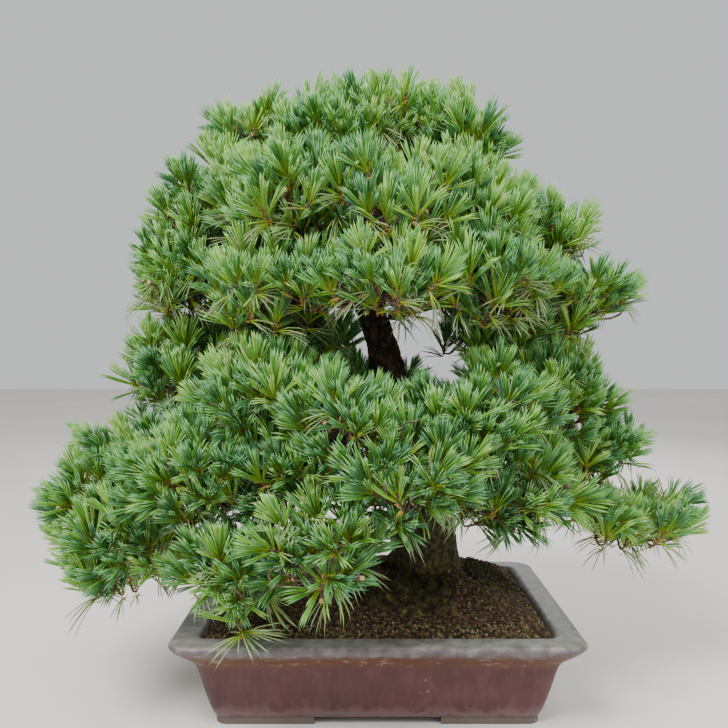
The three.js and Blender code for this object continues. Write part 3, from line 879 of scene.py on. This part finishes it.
def needle_material():
    material, tree, shader = start_material("waxy_five_needle_pine", 0.42, Specular_IOR_Level=0.36)
    uv = add(tree, "ShaderNodeUVMap", uv_map=NEEDLE_MAP)
    parts = add(tree, "ShaderNodeSeparateXYZ", {"Vector": uv.outputs["UV"]})
    tone = parts.outputs["X"]
    inner = add(tree, "ShaderNodeMath", {0: parts.outputs["Y"], 1: 0.5},
                operation="GREATER_THAN").outputs[0]
    doubled = times(tree, parts.outputs["Y"], 2.0)
    along = add(tree, "ShaderNodeMath", {0: doubled}, operation="FRACT").outputs[0]
    green = ramp(tree, tone, [(0.0, "#285a08"), (0.3, "#488c0c"), (0.55, "#74b41a"),
                              (0.78, "#a4d434"), (0.88, "#708c4a"), (1.0, "#7e8052")])
    waxy = ramp(tree, tone, [(0.0, "#5c9474"), (0.35, "#84b878"), (0.7, "#b0d680"),
                             (0.88, "#94aa7c"), (1.0, "#98a078")])
    faces = mixed(tree, inner, green, waxy)
    yellow = mixed(tree, over(tree, along, 0.48, 0.16), faces, linear("#a4c42c"))
    sheath = mixed(tree, over(tree, along, 0.16, 0.08), yellow, linear("#ac863c"))
    tip = mixed(tree, times(tree, over(tree, along, 0.6, 1.0), 0.25), sheath, linear("#5c9c5c"))
    tree.links.new(tip, shader.inputs["Base Color"])
    ridges = add(tree, "ShaderNodeTexWave", {"Vector": uv.outputs["UV"], "Scale": 40.0,
                                             "Distortion": 0.5})
    gloss = add(tree, "ShaderNodeMapRange", {"Value": ridges.outputs["Fac"], "To Min": 0.36,
                                             "To Max": 0.5})
    tree.links.new(gloss.outputs["Result"], shader.inputs["Roughness"])
    return material


NEEDLES = needle_material()

# %% [markdown]
# ## Where the tufts go
#
# Each CAD pad is one cushion of foliage, or two grown together. Its shoots end about a needle's
# length inside its surface, evenly spaced, and point outward and up to the light; low on the tree
# they also reach out sideways for it. A place is picked at random on the pad's skin and kept if
# no other shoot is near. Where a pad presses against its neighbour the skin is in the shade, so
# fewer shoots grow there, but those that do sit close under the skin and close the gap.

# %% Shoots of each pad
SHOOT_SPACING = 19 * MM
BACK_SPACING = 22.5 * MM  # wider where the tree turns its back to the viewer
PLACES_TRIED = 400  # on each pad
LOW_FOLIAGE = 380 * MM  # shoots under this height reach sideways, more and more
LOW_RANGE = 220 * MM
SEARCH_REACH = 120 * MM  # further than any place inside a pad is from its skin
OPEN_GAP = 22 * MM  # a place with no other pad this near is in the open


def shoot_inset(upward, exposed):
    """How far inside the skin a shoot ends. Tufts reach furthest upward, so shoots sit deepest
    under the top of a pad, and they fill the cracks where two pads meet."""
    depth = 37 if exposed else 8
    slope = (19 if upward > 0 else 22) if exposed else 8
    return (depth + slope * upward) * MM


def skin_finder(names):
    bm = bmesh.new()
    for name in names:
        bm.from_mesh(nodes[name].data)
    finder = BVHTree.FromBMesh(bm)
    bm.free()
    return finder


def inside(finder, place):
    near, normal, _, _ = finder.find_nearest(place, SEARCH_REACH)
    return near is not None and (place - near).dot(normal) < 0


def random_skin_places(mesh, count, rng):
    triangles = [[mesh.vertices[i].co for i in face.vertices] for face in mesh.polygons]
    areas = [face.area for face in mesh.polygons]
    for index in rng.choices(range(len(areas)), areas, k=count):
        yield point_on(triangles[index], rng), mesh.polygons[index].normal.copy()


pad_finders = {name: skin_finder([name]) for name in pads}
wood_finder = skin_finder(branches + ["trunk"])


def shaded(name, place):
    return any(inside(finder, place) for other, finder in pad_finders.items() if other != name)


def in_the_open(name, place):
    others = [finder for other, finder in pad_finders.items() if other != name]
    return all(finder.find_nearest(place, OPEN_GAP)[0] is None for finder in others)


def shoots_of(name, taken, rng):
    """Place and direction of each of a pad's shoots, and how far up its skin faces there."""
    finder = pad_finders[name]
    found = []
    low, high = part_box(name)
    spacing = BACK_SPACING if low.y + high.y > 180 * MM else SHOOT_SPACING
    for place, normal in random_skin_places(nodes[name].data, PLACES_TRIED, rng):
        if normal.z < -0.5 and rng.random() < 0.5:
            continue
        lowness = min(max((LOW_FOLIAGE - place.z) / LOW_RANGE, 0), 1)
        inset = shoot_inset(normal.z, in_the_open(name, place + normal * 24 * MM))
        inset += 10 * MM * lowness * normal.xy.length
        spot = place - normal * inset
        if not inside(finder, spot):
            spot = place - normal * 0.5 * inset
        if shaded(name, place + normal * 10 * MM) and rng.random() < 0.35:
            continue
        if any((spot - other).length < spacing for other in taken):
            continue
        outward = Vector((place.x, place.y, 0)).normalized() * 0.45 * lowness
        upright = Vector((rng.uniform(-0.3, 0.3), rng.uniform(-0.3, 0.3), 1.1 - 0.55 * lowness))
        axis = normal * 0.6 + outward + upright
        if axis.z < -0.15:
            axis.z = -0.15 + 0.3 * (axis.z + 0.15)
        taken.append(spot)
        found.append((spot, axis.normalized(), normal.z))
    return found


rng = random.Random(4)
taken = []
shoots = {name: shoots_of(name, taken, rng) for name in pads}
print("shoots", len(taken), [len(found) for found in shoots.values()])

# %% [markdown]
# ## The foliage
#
# A tree isn't one green: tufts that get light are full and yellow-green, and those in the shade
# are darker and thinner. So each shoot takes a tuft of a grade that suits its place, with its own
# turn and size. The grades also carry painted light and shade: lighter tufts go on top, at the
# branch tips and in the crown, and darker ones underneath and in the middle. All tufts of a pad
# are stamped into one mesh, which stands for the CAD pad.

# %% Foliage pieces
TUFT_MIDDLE_MM = 9  # from the foot of a tuft's shoot to the middle of its bundles


def grade_for(place, upward, rng):
    """New growth sits on top, at the branch tips and in the crown, and its lighter tufts are also
    painted light; darker tufts underneath and in the middle are older growth and painted shade.
    """
    if upward < -0.35:
        return rng.choices(("deep", "green", "limp"), (5, 2, 1.2))[0]
    outward = min((abs(place.x) / (230 * MM)) ** 1.5, 1.0)
    crown = min(max((place.z - 400 * MM) / (200 * MM), 0), 1)
    light = max(outward, crown)
    # painted light and shade: lighter grades are weighted towards lit places, darker ones away
    # from them
    weights = (5 - 3.4 * light, 4, 1 + 3 * light + 2 * upward * light, 0.3)
    return rng.choices(("deep", "green", "fresh", "limp"), weights)[0]


for name in pads:
    bm = bmesh.new()
    for spot, axis, upward in shoots[name]:
        tuft = rng.choice(tufts[grade_for(spot, upward, rng)])
        foot = spot - axis * TUFT_MIDDLE_MM * MM
        matrix = Matrix.Translation(foot) @ turned_to(axis, rng.uniform(0, FULL_TURN))
        stamp(bm, tuft, matrix @ Matrix.Scale(rng.uniform(0.86, 1.1), 4))
    place_piece("needles_" + name.removeprefix(PAD_PREFIX), mesh_from(bm, name), NEEDLES,
                [name])

# %% [markdown]
# ## Twigs
#
# Every tuft sits on a twig that leaves the nearest wood 3 mm thick, turns up to the light and
# ends half as thick. Under each cushion a few bare twigs are left, and some thicker ones end in
# the pale round cut where they were pruned. A curve with a section and a radius at each point
# makes a tapered twig in one step, and it is turned into a mesh once all twigs of a pad are drawn.

# %% Twigs
BARE_TWIG_PLACES = 16  # tried on each pad, and used where its skin faces down or sideways
PRUNED_SHARE = 0.25


def twig_curve(name, paths):
    """Draws one tapered twig along each path of (place, radius in millimetres)."""
    curve = bpy.data.curves.new(name, "CURVE")
    curve.dimensions = "3D"
    curve.bevel_depth = 1.0 * MM
    curve.bevel_resolution = 0
    curve.resolution_u = 3
    curve.use_fill_caps = True
    for path in paths:
        spline = curve.splines.new("BEZIER")
        spline.bezier_points.add(len(path) - 1)
        for point, (place, radius) in zip(spline.bezier_points, path):
            point.co = place
            point.radius = radius
            point.handle_left_type = point.handle_right_type = "AUTO"
    drawn = bpy.data.objects.new(name, curve)
    bpy.context.scene.collection.objects.link(drawn)
    shaped = drawn.evaluated_get(bpy.context.evaluated_depsgraph_get())
    bm = bmesh.new()
    bm.from_mesh(shaped.to_mesh())
    bpy.data.objects.remove(drawn)
    bmesh.ops.remove_doubles(bm, verts=bm.verts, dist=0.01 * MM)
    return mesh_from(bm, name)


def twig_path(start, foot, axis, rng):
    reach = foot - start
    wander = Vector([rng.uniform(-0.12, 0.12) for _ in range(3)]) * reach.length
    elbow = start + reach * 0.5 + wander - Vector((0, 0, 0.12 * reach.length))
    return [(start, 1.7), (elbow, 1.35), (foot, 1.1), (foot + axis * 18 * MM, 0.8)]


def cut_end(bm, place, direction):
    """The pale round face left where a thick twig was pruned, just proud of its bark."""
    bmesh.ops.create_cone(bm, cap_ends=True, segments=10, radius1=2.0 * MM, radius2=2.3 * MM,
                          depth=2.4 * MM,
                          matrix=Matrix.Translation(place) @ turned_to(direction, 0))


rng = random.Random(8)
cuts_bm = bmesh.new()
for name in pads:
    low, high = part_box(name)
    heart = low.lerp(high, 0.5)
    paths = []
    # bare twigs under the cushion, whose needles have dropped for want of light
    for place, normal in random_skin_places(nodes[name].data, BARE_TWIG_PLACES, rng):
        if normal.z < 0.2:
            end = place - normal * rng.uniform(6, 24) * MM
            start, away, _, _ = wood_finder.find_nearest(end.lerp(heart, 0.3))
            path = twig_path(start - away * MM, end, -normal, rng)
            if rng.random() < PRUNED_SHARE:
                path = [(point, 2.2) for point, _ in path[:3]]
                cut_end(cuts_bm, end, (end - path[1][0]).normalized())
            paths.append(path)
    for spot, axis, _ in shoots[name]:
        foot = spot - axis * TUFT_MIDDLE_MM * MM
        start, normal, _, _ = wood_finder.find_nearest(foot.lerp(heart, 0.4))
        paths.append(twig_path(start - normal * MM, foot, axis, rng))
    place_piece("twigs_" + name.removeprefix(PAD_PREFIX), twig_curve(name, paths), TWIG_BARK)
CUT_WOOD = grainy_material("pruned_pine_wood", ("#a87c4c", "#cfa474", "#e2c294"), 1.5)
place_piece("pruning_cuts", mesh_from(cuts_bm, "pruning_cuts", sharp_degrees=40), CUT_WOOD)
print("twigs", sum(len(found) for found in shoots.values()))
